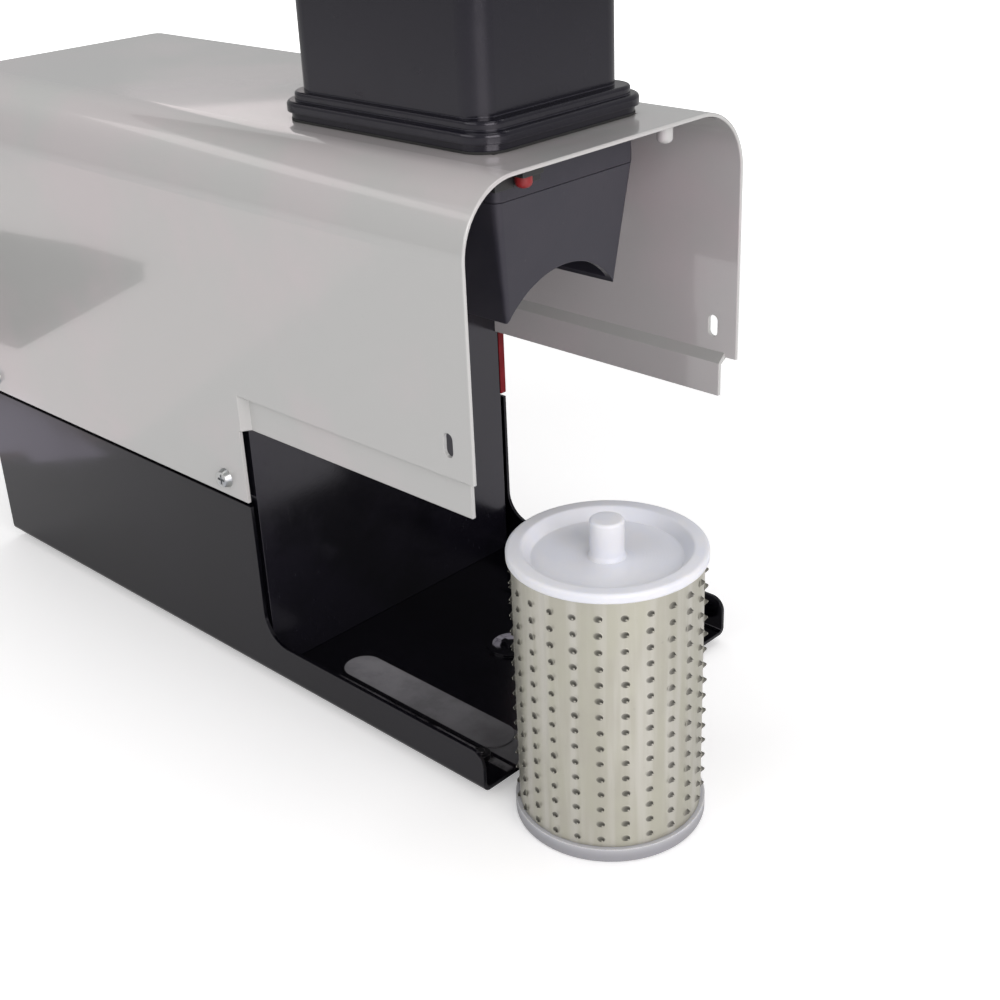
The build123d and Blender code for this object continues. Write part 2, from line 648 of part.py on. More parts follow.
with BuildPart() as cradle_screws:
    for x in (-135.0, -75.0):
        for y in (-54.0, 54.0):
            with Locations((x, y, 1.8)):
                Cylinder(2.2, 12.0, align=UP)
            with Locations((x, y, 1.4)):
                Cylinder(4.2, 2.5, align=UP)
            with BuildSketch(Plane.XY.offset(9.6)):
                with Locations((x, y)):
                    RegularPolygon(4.5, 6)
            extrude(amount=3.4)
save(cradle_screws, "cradle_screws")

with BuildPart() as run_capacitor:
    rod_x(16.0, -66.0, -14.0, -46.0, 25.5)
    fillet(edges().filter_by(GeomType.CIRCLE), 1.5)
    for y in (-4.0, 4.0):
        block(-74.0, -65.0, -46.0 + y - 0.4, -46.0 + y + 0.4, 22.5, 28.5)
save(run_capacitor, "run_capacitor")

with BuildPart() as capacitor_clamp:
    rod_x(17.6, -46.0, -34.0, -46.0, 25.5)
    block(-46.0, -34.0, -65.0, -27.0, floor_z + 0.1, 8.0)
    rod_x(16.1, -50.0, -30.0, -46.0, 25.5, Mode.SUBTRACT)
    block(-50.0, -30.0, -70.0, -20.0, 0.0, floor_z + 0.1, Mode.SUBTRACT)
save(capacitor_clamp, "capacitor_clamp")

with BuildPart() as terminal_block:
    block(-62.0, -20.0, 38.0, 56.0, floor_z + 0.1, 22.0)
    for x in range(-57, -20, 8):
        with Locations((x, 47.0, 14.0)):
            Cylinder(2.4, 10.0, align=UP, mode=Mode.SUBTRACT)
        block(x - 2.0, x + 2.0, 30.0, 60.0, 9.5, 12.5, Mode.SUBTRACT)
save(terminal_block, "terminal_block")

# --- Dog that turns the roller ---
with BuildPart() as drive_dog:
    rod_x(9.0, 4.0, 13.5)
    block(8.0, 13.5, -14.0, 14.0, axis_z - 3.0, axis_z + 3.0)
    rod_x(5.02, 0.0, 20.0, mode=Mode.SUBTRACT)
save(drive_dog, "drive_dog")

# --- Roller: spiked sleeve between two moulded caps ---
with BuildPart() as drum_shell:
    with Locations((roller_x, roller_y, shell_low)):
        Cylinder(shell_r, shell_high - shell_low, align=UP)
    spikes = []
    for column in range(spike_columns):
        turn = spike_turn + 360.0 / spike_columns * column
        for row in range(spike_rows):
            out = Vector(cos(radians(turn)), sin(radians(turn)), 0)
            foot = Vector(roller_x, roller_y, spike_first + row * spike_pitch) + out * (shell_r - 0.35)
            spikes.append(Plane(origin=foot, z_dir=out))
    with Locations(*spikes):
        Cone(1.6, 0.3, 2.3, align=UP)
    with Locations((roller_x, roller_y, 0)):
        Cylinder(shell_r - 0.9, 200.0, align=UP, mode=Mode.SUBTRACT)
save(drum_shell, "drum_shell")

with BuildPart() as front_cap:
    with BuildSketch(Plane.XZ.offset(-roller_y)):
        with BuildLine():
            Polyline(
                (0, 99.0), (30.5, 99.0), (30.5, 96.0), (shell_r - 1.0, 96.0), (shell_r - 1.0, 105.7),
                (cap_r, 105.7), (cap_r, roller_len), (29.6, roller_len), (26.4, 104.8), (6.7, 104.8),
                (stub_r, 106.4), (stub_r, stub_len), (0, stub_len),
                close=True,
            )
        make_face()
    revolve(axis=Axis((0, roller_y, 0), (0, 0, 1)))
    fillet(edges().filter_by(GeomType.CIRCLE).filter_by_position(Axis.Z, 108.9, 109.1), 1.2)
    fillet(edges().filter_by(GeomType.CIRCLE).group_by(Axis.Z)[-1], 1.0)
front_cap.part = front_cap.part.moved(Location((roller_x, 0, 0)))
save(front_cap, "front_cap")

with BuildPart() as drive_cap:
    with Locations((roller_x, roller_y, 0)):
        Cylinder(cap_r, 5.9, align=UP)
        fillet(edges().group_by(Axis.Z)[0], 1.4)
    with Locations((roller_x, roller_y, 5.0)):
        Cylinder(shell_r - 1.0, 10.0, align=UP)
        Cylinder(30.0, 12.0, align=UP, mode=Mode.SUBTRACT)
    with Locations((roller_x, roller_y, 3.0)):
        Cylinder(30.5, 3.2, align=UP)
        Cylinder(18.0, 16.0, align=UP)
    with Locations((roller_x, roller_y, 0)):
        Cylinder(9.6, 12.0, align=UP, mode=Mode.SUBTRACT)
        with Locations((0, 0, 3.2)):
            Box(29.4, 7.4, 6.4, mode=Mode.SUBTRACT)
save(drive_cap, "drive_cap")
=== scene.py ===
import math

import bmesh
import bpy
from mathutils import Matrix, Vector


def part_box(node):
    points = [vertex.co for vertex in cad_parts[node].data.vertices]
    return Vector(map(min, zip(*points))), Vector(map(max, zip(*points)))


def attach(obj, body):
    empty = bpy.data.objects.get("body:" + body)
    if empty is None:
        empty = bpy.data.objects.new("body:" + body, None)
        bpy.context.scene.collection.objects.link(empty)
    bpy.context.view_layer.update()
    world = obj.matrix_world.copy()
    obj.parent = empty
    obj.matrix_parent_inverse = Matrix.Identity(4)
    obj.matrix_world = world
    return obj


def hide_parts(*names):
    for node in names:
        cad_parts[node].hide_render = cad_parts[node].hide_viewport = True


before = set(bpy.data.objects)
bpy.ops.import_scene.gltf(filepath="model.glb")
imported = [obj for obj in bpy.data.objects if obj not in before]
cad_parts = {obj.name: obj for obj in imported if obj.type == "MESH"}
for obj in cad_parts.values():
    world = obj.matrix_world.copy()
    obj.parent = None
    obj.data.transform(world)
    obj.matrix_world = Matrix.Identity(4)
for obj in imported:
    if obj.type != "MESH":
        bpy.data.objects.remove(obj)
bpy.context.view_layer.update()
mm = 0.001
print("frame loaded:", len(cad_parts), "nodes")


def addNode(tree, kind, inputs=None, **settings):
    node = tree.nodes.new(kind)
    for key, value in settings.items():
        setattr(node, key, value)
    for key, value in (inputs or {}).items():
        if isinstance(value, bpy.types.NodeSocket):
            tree.links.new(value, node.inputs[key])
        else:
            node.inputs[key].default_value = value
    return node


def mathNode(tree, operation, a, b=0.0, c=0.0, clamp=False):
    return addNode(tree, "ShaderNodeMath", {0: a, 1: b, 2: c}, operation=operation,
                   use_clamp=clamp).outputs[0]


def mixColour(tree, factor, a, b, blend="MIX"):
    node = addNode(tree, "ShaderNodeMix", data_type="RGBA", blend_type=blend)
    for index, value in ((0, factor), (6, a), (7, b)):
        if isinstance(value, bpy.types.NodeSocket):
            tree.links.new(value, node.inputs[index])
        else:
            node.inputs[index].default_value = value
    return node.outputs[2]


def spread(tree, value, low, high, toLow=0.0, toHigh=1.0):
    return addNode(
        tree, "ShaderNodeMapRange",
        {"Value": value, "From Min": low, "From Max": high, "To Min": toLow, "To Max": toHigh},
        interpolation_type="SMOOTHSTEP",
    ).outputs[0]


def makeGroup(name, inputs, outputs):
    group = bpy.data.node_groups.new(name, "ShaderNodeTree")
    for label, kind, value in inputs:
        socket = group.interface.new_socket(label, in_out="INPUT", socket_type=kind)
        if value is not None:
            socket.default_value = value
    for label, kind in outputs:
        group.interface.new_socket(label, in_out="OUTPUT", socket_type=kind)
    return group, group.nodes.new("NodeGroupInput").outputs, group.nodes.new("NodeGroupOutput").inputs


def makeSurfaceDetail():
    # clouding, fine grain and specks over any surface
    group, given, result = makeGroup(
        "surfaceDetail",
        [("Place", "NodeSocketVector", None), ("Cloud Scale", "NodeSocketFloat", 14.0),
         ("Grain Scale", "NodeSocketFloat", 900.0), ("Speck Scale", "NodeSocketFloat", 260.0)],
        [("Cloud", "NodeSocketFloat"), ("Grain", "NodeSocketFloat"), ("Specks", "NodeSocketFloat"),
         ("Scuffs", "NodeSocketFloat")],
    )
    cloud = addNode(group, "ShaderNodeTexNoise",
                    {"Vector": given[0], "Scale": given[1], "Detail": 4.0, "Roughness": 0.6})
    grain = addNode(group, "ShaderNodeTexNoise", {"Vector": given[0], "Scale": given[2], "Detail": 3.0})
    cell = addNode(group, "ShaderNodeTexVoronoi", {"Vector": given[0], "Scale": given[3]})
    sparse = addNode(group, "ShaderNodeTexNoise", {"Vector": given[0], "Scale": given[3], "Detail": 1.0})
    dots = mathNode(group, "MULTIPLY", spread(group, cell.outputs["Distance"], 0.0, 0.22, 1.0, 0.0),
                    spread(group, sparse.outputs[0], 0.58, 0.66))
    stretched = addNode(group, "ShaderNodeMapping",
                        {"Vector": given[0], "Rotation": (0.3, 0.5, 0.9), "Scale": (1.0, 14.0, 4.0)})
    scratch = addNode(group, "ShaderNodeTexNoise",
                      {"Vector": stretched.outputs[0], "Scale": 60.0, "Detail": 6.0})
    group.links.new(cloud.outputs[0], result[0])
    group.links.new(grain.outputs[0], result[1])
    group.links.new(dots, result[2])
    group.links.new(spread(group, scratch.outputs[0], 0.6, 0.72), result[3])
    return group


def makeSoftEdges():
    # rounds a cut edge in the shading and says where the edges are
    group, given, result = makeGroup(
        "softEdges", [("Radius", "NodeSocketFloat", 0.0005), ("Bumped", "NodeSocketVector", None)],
        [("Normal", "NodeSocketVector"), ("Edge", "NodeSocketFloat")],
    )
    rounded = addNode(group, "ShaderNodeBevel", {"Radius": given[0], "Normal": given[1]}, samples=4)
    flat = addNode(group, "ShaderNodeNewGeometry")
    plain = addNode(group, "ShaderNodeBevel", {"Radius": given[0]}, samples=4)
    dot = addNode(group, "ShaderNodeVectorMath", {0: plain.outputs[0], 1: flat.outputs["Normal"]},
                  operation="DOT_PRODUCT")
    group.links.new(rounded.outputs[0], result[0])
    group.links.new(spread(group, dot.outputs["Value"], 0.98, 0.8), result[1])
    return group


surfaceDetail = makeSurfaceDetail()
softEdges = makeSoftEdges()


# clouding mixes in cloudTone, specks have dustTone, and edges have edgeTone, a lighter tone for wear and
# painted highlight
finishes = {
    "coverPaint": dict(colour=(0.50, 0.50, 0.488), cloudTone=(0.535, 0.50, 0.50),
                       dustTone=(0.46, 0.475, 0.455), rough=0.11, roughSpread=0.05, cloud=9.0,
                       grain=1300.0, grainDepth=0.006, edgeTone=(0.7, 0.7, 0.68), edge=0.0005, coat=1.0),
    "basePaint": dict(colour=(0.0008, 0.0007, 0.0016), cloudTone=(0.0016, 0.0014, 0.003),
                      dustTone=(0.006, 0.006, 0.008), rough=0.1, roughSpread=0.07, cloud=12.0,
                      grain=1100.0, grainDepth=0.005, edgeTone=(0.012, 0.012, 0.015), edge=0.0005,
                      sheen=(0.94, 0.91, 1.0), shine=0.34),
    "bulkheadPaint": dict(colour=(0.004, 0.004, 0.0055), cloudTone=(0.006, 0.0055, 0.009),
                          dustTone=(0.015, 0.015, 0.017), rough=0.13, roughSpread=0.08, cloud=16.0,
                          grain=1300.0, grainDepth=0.012, edgeTone=(0.03, 0.03, 0.035), edge=0.0005,
                          sheen=(0.93, 0.9, 1.0), shine=0.78),
    "redSilicone": dict(colour=(0.2, 0.003, 0.008), cloudTone=(0.15, 0.002, 0.006),
                        dustTone=(0.2, 0.02, 0.02), rough=0.45, roughSpread=0.1, cloud=60.0, grain=1500.0,
                        grainDepth=0.03, edgeTone=(0.2, 0.012, 0.015), edge=0.0004, shine=0.2),
    "redPlastic": dict(colour=(0.27, 0.012, 0.014), cloudTone=(0.23, 0.01, 0.012),
                       dustTone=(0.45, 0.05, 0.05), rough=0.28, roughSpread=0.1, cloud=120.0,
                       grain=2000.0, grainDepth=0.01, edgeTone=(0.6, 0.1, 0.08), edge=0.0004),
    "slatePlastic": dict(colour=(0.022, 0.021, 0.030), cloudTone=(0.028, 0.026, 0.035),
                         dustTone=(0.05, 0.05, 0.055), rough=0.3, roughSpread=0.08, cloud=25.0,
                         grain=1600.0, grainDepth=0.03, edgeTone=(0.06, 0.058, 0.075), edge=0.0006,
                         sheen=(0.96, 0.93, 1.0)),
    "blackPlastic": dict(colour=(0.014, 0.014, 0.016), cloudTone=(0.02, 0.02, 0.02),
                         dustTone=(0.04, 0.04, 0.04), rough=0.4, roughSpread=0.1, cloud=40.0,
                         grain=1400.0, grainDepth=0.05, edgeTone=(0.05, 0.05, 0.052), edge=0.0004),
    "zinc": dict(colour=(0.56, 0.57, 0.56), cloudTone=(0.48, 0.5, 0.53), dustTone=(0.4, 0.38, 0.3),
                 rough=0.3, roughSpread=0.15, cloud=300.0, grain=3000.0, grainDepth=0.02,
                 edgeTone=(0.75, 0.75, 0.74), edge=0.0003, metallic=1.0),
    "blackZinc": dict(colour=(0.035, 0.034, 0.036), cloudTone=(0.05, 0.048, 0.05),
                      dustTone=(0.08, 0.075, 0.07), rough=0.34, roughSpread=0.12, cloud=300.0,
                      grain=3000.0, grainDepth=0.02, edgeTone=(0.12, 0.12, 0.12), edge=0.0003,
                      metallic=1.0),
    "rubber": dict(colour=(0.015, 0.015, 0.015), cloudTone=(0.022, 0.022, 0.021),
                   dustTone=(0.06, 0.058, 0.05), rough=0.75, roughSpread=0.1, cloud=80.0, grain=1200.0,
                   grainDepth=0.08, edgeTone=(0.04, 0.04, 0.04), edge=0.0004),
    "leverSteel": dict(colour=(0.52, 0.52, 0.51), cloudTone=(0.46, 0.46, 0.46),
                       dustTone=(0.35, 0.33, 0.3), rough=0.28, roughSpread=0.14, cloud=40.0, grain=2200.0,
                       grainDepth=0.02, edgeTone=(0.7, 0.7, 0.7), edge=0.0005, metallic=1.0),
    "castAluminium": dict(colour=(0.5, 0.5, 0.5), cloudTone=(0.42, 0.42, 0.43),
                          dustTone=(0.3, 0.29, 0.27), rough=0.48, roughSpread=0.12, cloud=70.0,
                          grain=700.0, grainDepth=0.1, edgeTone=(0.65, 0.65, 0.65), edge=0.0006,
                          metallic=1.0),
    "bearingSteel": dict(colour=(0.62, 0.62, 0.63), cloudTone=(0.55, 0.55, 0.56),
                         dustTone=(0.4, 0.38, 0.33), rough=0.16, roughSpread=0.08, cloud=120.0,
                         grain=3000.0, grainDepth=0.01, edgeTone=(0.8, 0.8, 0.8), edge=0.0003,
                         metallic=1.0),
    "cradlePaint": dict(colour=(0.07, 0.07, 0.075), cloudTone=(0.09, 0.09, 0.09),
                        dustTone=(0.15, 0.14, 0.13), rough=0.42, roughSpread=0.1, cloud=50.0, grain=900.0,
                        grainDepth=0.05, edgeTone=(0.2, 0.2, 0.2), edge=0.0006),
}


def startMaterial(name):
    material = bpy.data.materials.new(name)
    material.use_nodes = True
    tree = material.node_tree
    tree.nodes.clear()
    shader = addNode(tree, "ShaderNodeBsdfPrincipled")
    output = addNode(tree, "ShaderNodeOutputMaterial")
    tree.links.new(shader.outputs[0], output.inputs[0])
    place = addNode(tree, "ShaderNodeTexCoord").outputs["Object"]
    return material, tree, shader, place


def makeFinish(name, look, extra=None):
    material, tree, shader, place = startMaterial(name)
    detail = addNode(tree, "ShaderNodeGroup", node_tree=surfaceDetail)
    tree.links.new(place, detail.inputs["Place"])
    detail.inputs["Cloud Scale"].default_value = look["cloud"]
    detail.inputs["Grain Scale"].default_value = look["grain"]
    cloud = spread(tree, detail.outputs["Cloud"], 0.42, 0.6)
    colour = mixColour(tree, cloud, (*look["colour"], 1), (*look["cloudTone"], 1))
    colour = mixColour(tree, mathNode(tree, "MULTIPLY", detail.outputs["Specks"], 0.6), colour,
                       (*look["dustTone"], 1))
    height = detail.outputs["Grain"]
    rough = mathNode(tree, "MULTIPLY_ADD", cloud, look["roughSpread"], look["rough"])
    rough = mathNode(tree, "MULTIPLY_ADD", detail.outputs["Scuffs"], look["roughSpread"], rough)
    metal = None
    if extra:
        colour, height, rough, metal = extra(tree, place, colour, height, rough)
    bump = addNode(tree, "ShaderNodeBump",
                   {"Height": height, "Strength": 1.0, "Distance": look["grainDepth"] * mm})
    edges = addNode(tree, "ShaderNodeGroup", node_tree=softEdges)
    edges.inputs["Radius"].default_value = look["edge"]
    tree.links.new(bump.outputs[0], edges.inputs["Bumped"])
    # edges lighten towards edgeTone: partly wear, partly a painted highlight along the cut edges
    colour = mixColour(tree, mathNode(tree, "MULTIPLY", edges.outputs["Edge"], 0.7), colour,
                       (*look["edgeTone"], 1))
    tree.links.new(colour, shader.inputs["Base Color"])
    tree.links.new(rough, shader.inputs["Roughness"])
    tree.links.new(edges.outputs["Normal"], shader.inputs["Normal"])
    shader.inputs["Metallic"].default_value = look.get("metallic", 0.0)
    shader.inputs["Coat Weight"].default_value = look.get("coat", 0.0)
    shader.inputs["Coat Roughness"].default_value = 0.035
    shader.inputs["Specular Tint"].default_value = (*look.get("sheen", (1.0, 1.0, 1.0)), 1)
    shader.inputs["Specular IOR Level"].default_value = look.get("shine", 0.5)
    if metal is not None:
        tree.links.new(metal, shader.inputs["Metallic"])
    return material


# painted reflection: a hazy grey band on the black tray floor beside its near wall, for the bright room it
# reflects: where it starts, its middle line, its half width, its tones;
# then a grey streak next to the wall and a painted highlight on the lip of the pressed ring
trayGleams = dict(start=0.0370, middle=-0.0466, half=0.0087, floor=0.0058, nearTone=0.27, farTone=0.09,
             end=0.135, streakFrom=0.0098, streakTo=0.0135, streakTone=0.12, ringX=0.07285, ringY=0.007,
             ringIn=0.0052, ringOut=0.0078, ringGlintTone=0.4)


def trayGleamDetail(tree, place, colour, height, rough):
    spot = addNode(tree, "ShaderNodeSeparateXYZ", {0: place}).outputs
    past = mathNode(tree, "MAXIMUM", mathNode(tree, "SUBTRACT", trayGleams["start"], spot[0]), 0.0)
    side = mathNode(tree, "SUBTRACT", spot[1], trayGleams["middle"])
    reach = mathNode(tree, "SQRT", mathNode(tree, "ADD", mathNode(tree, "MULTIPLY", past, past),
                                            mathNode(tree, "MULTIPLY", side, side)))
    band = spread(tree, reach, trayGleams["half"] - 0.0008, trayGleams["half"], 1.0, 0.0)
    aboveFloor = mathNode(tree, "ABSOLUTE", mathNode(tree, "SUBTRACT", spot[2], trayGleams["floor"]))
    flat = spread(tree, aboveFloor, 0.0006, 0.0012, 1.0, 0.0)
    ends = spread(tree, spot[0], trayGleams["end"] - 0.002, trayGleams["end"], 1.0, 0.0)
    haze = addNode(tree, "ShaderNodeTexNoise",
                   {"Vector": place, "Scale": 55.0, "Detail": 5.0, "Roughness": 0.65})
    fade = spread(tree, spot[0], trayGleams["start"], trayGleams["end"], trayGleams["nearTone"], trayGleams["farTone"])
    tone = mathNode(tree, "MULTIPLY", fade, spread(tree, haze.outputs[0], 0.3, 0.65, 0.75, 1.1))
    reflectionGrey = addNode(tree, "ShaderNodeCombineColor", {0: tone, 1: mathNode(tree, "MULTIPLY", tone, 0.98),
                                                    2: mathNode(tree, "MULTIPLY", tone, 1.04)}).outputs[0]
    reflectionMask = mathNode(tree, "MULTIPLY", mathNode(tree, "MULTIPLY", band, flat), ends)
    inner = spread(tree, side, -trayGleams["streakFrom"] - 0.0006, -trayGleams["streakFrom"], 1.0, 0.0)
    outer = spread(tree, side, -trayGleams["streakTo"] - 0.0006, -trayGleams["streakTo"])
    begin = spread(tree, spot[0], trayGleams["start"] - 0.006, trayGleams["start"] + 0.002)
    streak = mathNode(tree, "MULTIPLY", mathNode(tree, "MULTIPLY", inner, outer), begin)
    streak = mathNode(tree, "MULTIPLY", mathNode(tree, "MULTIPLY", streak, flat), ends)
    dull = (*(trayGleams["streakTone"] * t for t in (1.0, 0.98, 1.03)), 1)
    colour = mixColour(tree, mathNode(tree, "MULTIPLY", streak, spread(tree, haze.outputs[0], 0.35, 0.6)),
                       colour, dull)
    # painted highlight: a pale violet glint on the left-hand lip of the pressed ring
    centred = addNode(tree, "ShaderNodeVectorMath",
                      {0: place, 1: (trayGleams["ringX"], trayGleams["ringY"], trayGleams["floor"])},
                      operation="SUBTRACT").outputs[0]
    away = addNode(tree, "ShaderNodeVectorMath", {0: centred}, operation="LENGTH").outputs["Value"]
    ringGlint = mathNode(tree, "MULTIPLY", spread(tree, away, trayGleams["ringIn"] - 0.0006, trayGleams["ringIn"]),
                   spread(tree, away, trayGleams["ringOut"], trayGleams["ringOut"] + 0.0006, 1.0, 0.0))
    leftSide = spread(tree, mathNode(tree, "SUBTRACT", spot[0], spot[1]),
                      trayGleams["ringX"] - trayGleams["ringY"] - 0.001,
                      trayGleams["ringX"] - trayGleams["ringY"] + 0.004, 1.0, 0.0)
    ringGlintColour = (*(trayGleams["ringGlintTone"] * t for t in (0.96, 0.92, 1.05)), 1)
    colour = mixColour(tree, mathNode(tree, "MULTIPLY", ringGlint, leftSide), colour, ringGlintColour)
    # painted reflection: the hazy grey band mixed over the black floor paint
    floorWithReflection = mixColour(tree, reflectionMask, colour, reflectionGrey)
    return floorWithReflection, height, mathNode(tree, "MULTIPLY_ADD", reflectionMask, 0.2, rough), None


# the plastic above the cover is darker and smoother than the throat under it
upperPlastic = dict(low=0.2338, high=0.2344, colour=(0.007, 0.0065, 0.011), smoother=0.14)


def hopperDetail(tree, place, colour, height, rough):
    level = addNode(tree, "ShaderNodeSeparateXYZ", {0: place}).outputs[2]
    above = spread(tree, level, upperPlastic["low"], upperPlastic["high"])
    colour = mixColour(tree, above, colour, (*upperPlastic["colour"], 1))
    return colour, height, mathNode(tree, "MULTIPLY_ADD", above, -upperPlastic["smoother"], rough), None


# painted light and shade: on faces turned to the near side the colour is darkened outside the near panel
# and lightened and warmed inside the far panel
panelShading = dict(near=(0.93, 0.93, 0.935), far=(1.13, 1.075, 1.11), reach=0.05)


def coverDetail(tree, place, colour, height, rough):
    facing = addNode(tree, "ShaderNodeNewGeometry").outputs["Normal"]
    sideways = addNode(tree, "ShaderNodeSeparateXYZ", {0: facing}).outputs[1]
    turned = spread(tree, sideways, -0.95, -0.6, 1.0, 0.0)
    across = addNode(tree, "ShaderNodeSeparateXYZ", {0: place}).outputs[1]
    far = spread(tree, across, -panelShading["reach"], panelShading["reach"])
    tone = mixColour(tree, far, (*panelShading["near"], 1), (*panelShading["far"], 1))
    tone = mixColour(tree, turned, (1, 1, 1, 1), tone)
    return mixColour(tree, 1.0, colour, tone, "MULTIPLY"), height, rough, None


details = {"coverPaint": coverDetail, "basePaint": trayGleamDetail, "slatePlastic": hopperDetail}
materials = {name: makeFinish(name, look, details.get(name)) for name, look in finishes.items()}


def copperDetail(tree, place, colour, height, rough):
    wires = addNode(tree, "ShaderNodeTexWave",
                    {"Vector": place, "Scale": 160.0, "Distortion": 1.5, "Detail": 1.0},
                    bands_direction="X")
    lace = addNode(tree, "ShaderNodeTexVoronoi", {"Vector": place, "Scale": 60.0})
    colour = mixColour(tree, mathNode(tree, "MULTIPLY", wires.outputs["Fac"], 0.6), colour,
                       (0.09, 0.022, 0.008, 1))
    height = mathNode(tree, "MULTIPLY_ADD", lace.outputs["Distance"], 0.5, wires.outputs["Fac"])
    return colour, height, rough, None


def laminationDetail(tree, place, colour, height, rough):
    plates = addNode(tree, "ShaderNodeTexWave", {"Vector": place, "Scale": 300.0, "Distortion": 0.0},
                     bands_direction="X")
    colour = mixColour(tree, mathNode(tree, "MULTIPLY", plates.outputs["Fac"], 0.5), colour,
                       (0.05, 0.045, 0.04, 1))
    return colour, plates.outputs["Fac"], rough, None


materials["copper"] = makeFinish(
    "copper",
    dict(colour=(0.36, 0.11, 0.035), cloudTone=(0.28, 0.08, 0.025), dustTone=(0.4, 0.2, 0.1), rough=0.25,
         roughSpread=0.1, cloud=90.0, grain=900.0, grainDepth=0.35, edgeTone=(0.45, 0.16, 0.06),
         edge=0.0005, coat=0.6),
    copperDetail,
)
materials["lamination"] = makeFinish(
    "lamination",
    dict(colour=(0.17, 0.17, 0.18), cloudTone=(0.13, 0.125, 0.125), dustTone=(0.16, 0.08, 0.04),
         rough=0.42, roughSpread=0.12, cloud=50.0, grain=900.0, grainDepth=0.12, edgeTone=(0.3, 0.3, 0.3),
         edge=0.0005, metallic=1.0),
    laminationDetail,
)


nylonLook = dict(colour=(0.73, 0.745, 0.80), cloudTone=(0.76, 0.765, 0.80), dustTone=(0.78, 0.77, 0.72),
                 rough=0.36, roughSpread=0.08, cloud=40.0, grain=1500.0, grainDepth=0.02,
                 edgeTone=(0.92, 0.92, 0.93), edge=0.0008)


def nylonDetail(tree, place, colour, height, rough):
    # faint turning marks round the cap's axis
    low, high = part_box("front_cap")
    axis = (low + high) / 2
    centred = addNode(tree, "ShaderNodeVectorMath", {0: place, 1: (axis.x, axis.y, 0.0)},
                      operation="SUBTRACT")
    rings = addNode(tree, "ShaderNodeTexWave",
                    {"Vector": centred.outputs[0], "Scale": 260.0, "Distortion": 0.4},
                    wave_type="RINGS", rings_direction="Z")
    height = mathNode(tree, "MULTIPLY_ADD", rings.outputs["Fac"], 0.5, height)
    level = addNode(tree, "ShaderNodeSeparateXYZ", {0: place}).outputs[2]
    # painted shade: the caps darken towards the table
    tableShade = spread(tree, level, 0.002, 0.012, 1.0, 0.0)
    colour = mixColour(tree, tableShade, colour, (0.3, 0.3, 0.32, 1))
    return colour, height, rough, None


materials["nylon"] = makeFinish("nylon", nylonLook, nylonDetail)
nylonShader = next(n for n in materials["nylon"].node_tree.nodes if n.type == "BSDF_PRINCIPLED")
nylonShader.inputs["Subsurface Weight"].default_value = 0.35
nylonShader.inputs["Subsurface Radius"].default_value = (1.0, 0.9, 0.7)
nylonShader.inputs["Subsurface Scale"].default_value = 0.004


def sleeveDetail(tree, place, colour, height, rough):
    burrShadeFac = addNode(tree, "ShaderNodeAttribute", attribute_name="burrShade",
                   attribute_type="GEOMETRY").outputs["Fac"]
    stretched = addNode(tree, "ShaderNodeMapping", {"Vector": place, "Scale": (1.0, 1.0, 0.06)})
    bands = addNode(tree, "ShaderNodeTexNoise",
                    {"Vector": stretched.outputs[0], "Scale": 190.0, "Detail": 3.0})
    colour = mixColour(tree, spread(tree, bands.outputs[0], 0.4, 0.68), colour, (0.60, 0.585, 0.53, 1))
    # painted shade on the burrs, for the torn holes and dark reflections of the real teeth
    colour = mixColour(tree, burrShadeFac, colour, (0.02, 0.019, 0.015, 1))
    rough = mathNode(tree, "MULTIPLY_ADD", bands.outputs[0], 0.14, rough)
    rough = mathNode(tree, "MULTIPLY_ADD", burrShadeFac, 0.5, rough, clamp=True)
    return colour, height, rough, spread(tree, burrShadeFac, 0.1, 0.7, 0.86, 0.2)


materials["tinnedSteel"] = makeFinish(
    "tinnedSteel",
    dict(colour=(0.50, 0.485, 0.415), cloudTone=(0.52, 0.51, 0.43), dustTone=(0.40, 0.39, 0.34),
         rough=0.28, roughSpread=0.08, cloud=45.0, grain=1600.0, grainDepth=0.012,
         edgeTone=(0.6, 0.58, 0.5), edge=0.0003),
    sleeveDetail,
)
print("finishes made:", len(materials))


nodeFinish = {
    "coverPaint": ["cover", "fixed_peg"],
    "basePaint": ["base"],
    "bulkheadPaint": ["bulkhead", "rear_panel", "bulkhead_rivets"],
    "redSilicone": ["bulkhead_gasket"],
    "redPlastic": ["interlock_plunger"],
    "slatePlastic": ["hopper_body", "hopper_throat", "pusher_plate"],
    "blackPlastic": ["interlock_switch", "inlet_socket", "switch_body", "rocker", "lever_grip",
                     "terminal_block", "drive_dog", "cooling_fan"],
    "zinc": ["cover_screws", "rear_panel_screws", "hopper_screws", "cradle_screws", "pusher_screws",
             "tie_bolts", "inlet_pins", "capacitor_clamp"],
    "blackZinc": ["foot_screws"],
    "tinnedSteel": ["drum_shell"],
    "nylon": ["front_cap", "drive_cap"],
    "rubber": ["hopper_gasket", "rubber_feet", "shaft_seal"],
    "leverSteel": ["press_lever", "lever_pin", "motor_shaft"],
    "lamination": ["stator_core", "rotor"],
    "copper": ["stator_windings"],
    "castAluminium": ["end_shield_front", "end_shield_rear", "run_capacitor"],
    "bearingSteel": ["ball_bearings"],
    "cradlePaint": ["motor_cradle"],
}
for finish, names in nodeFinish.items():
    for name in names:
        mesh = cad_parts[name].data
        mesh.materials.clear()
        mesh.materials.append(materials[finish])


sleeve = dict(outer=33.4, wall=0.9, low=6.0, high=105.6, columns=24, rows=15, pitch=6.4, firstRow=10.2,
              turn=4.8, seamTurn=-87.5, seamWide=1.6, seamHigh=0.16, burrWide=1.15, burrHigh=1.3,
              lean=0.8, jitter=0.12, seed=7, climb=0.267, levelColumn=23)


def rollerAxis():
    low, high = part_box("front_cap")
    return (low.x + high.x) / 2, (low.y + high.y) / 2


def meshFrom(name, shape):
    mesh = bpy.data.meshes.new(name)
    shape.to_mesh(mesh)
    shape.free()
    mesh.shade_smooth()
    return mesh


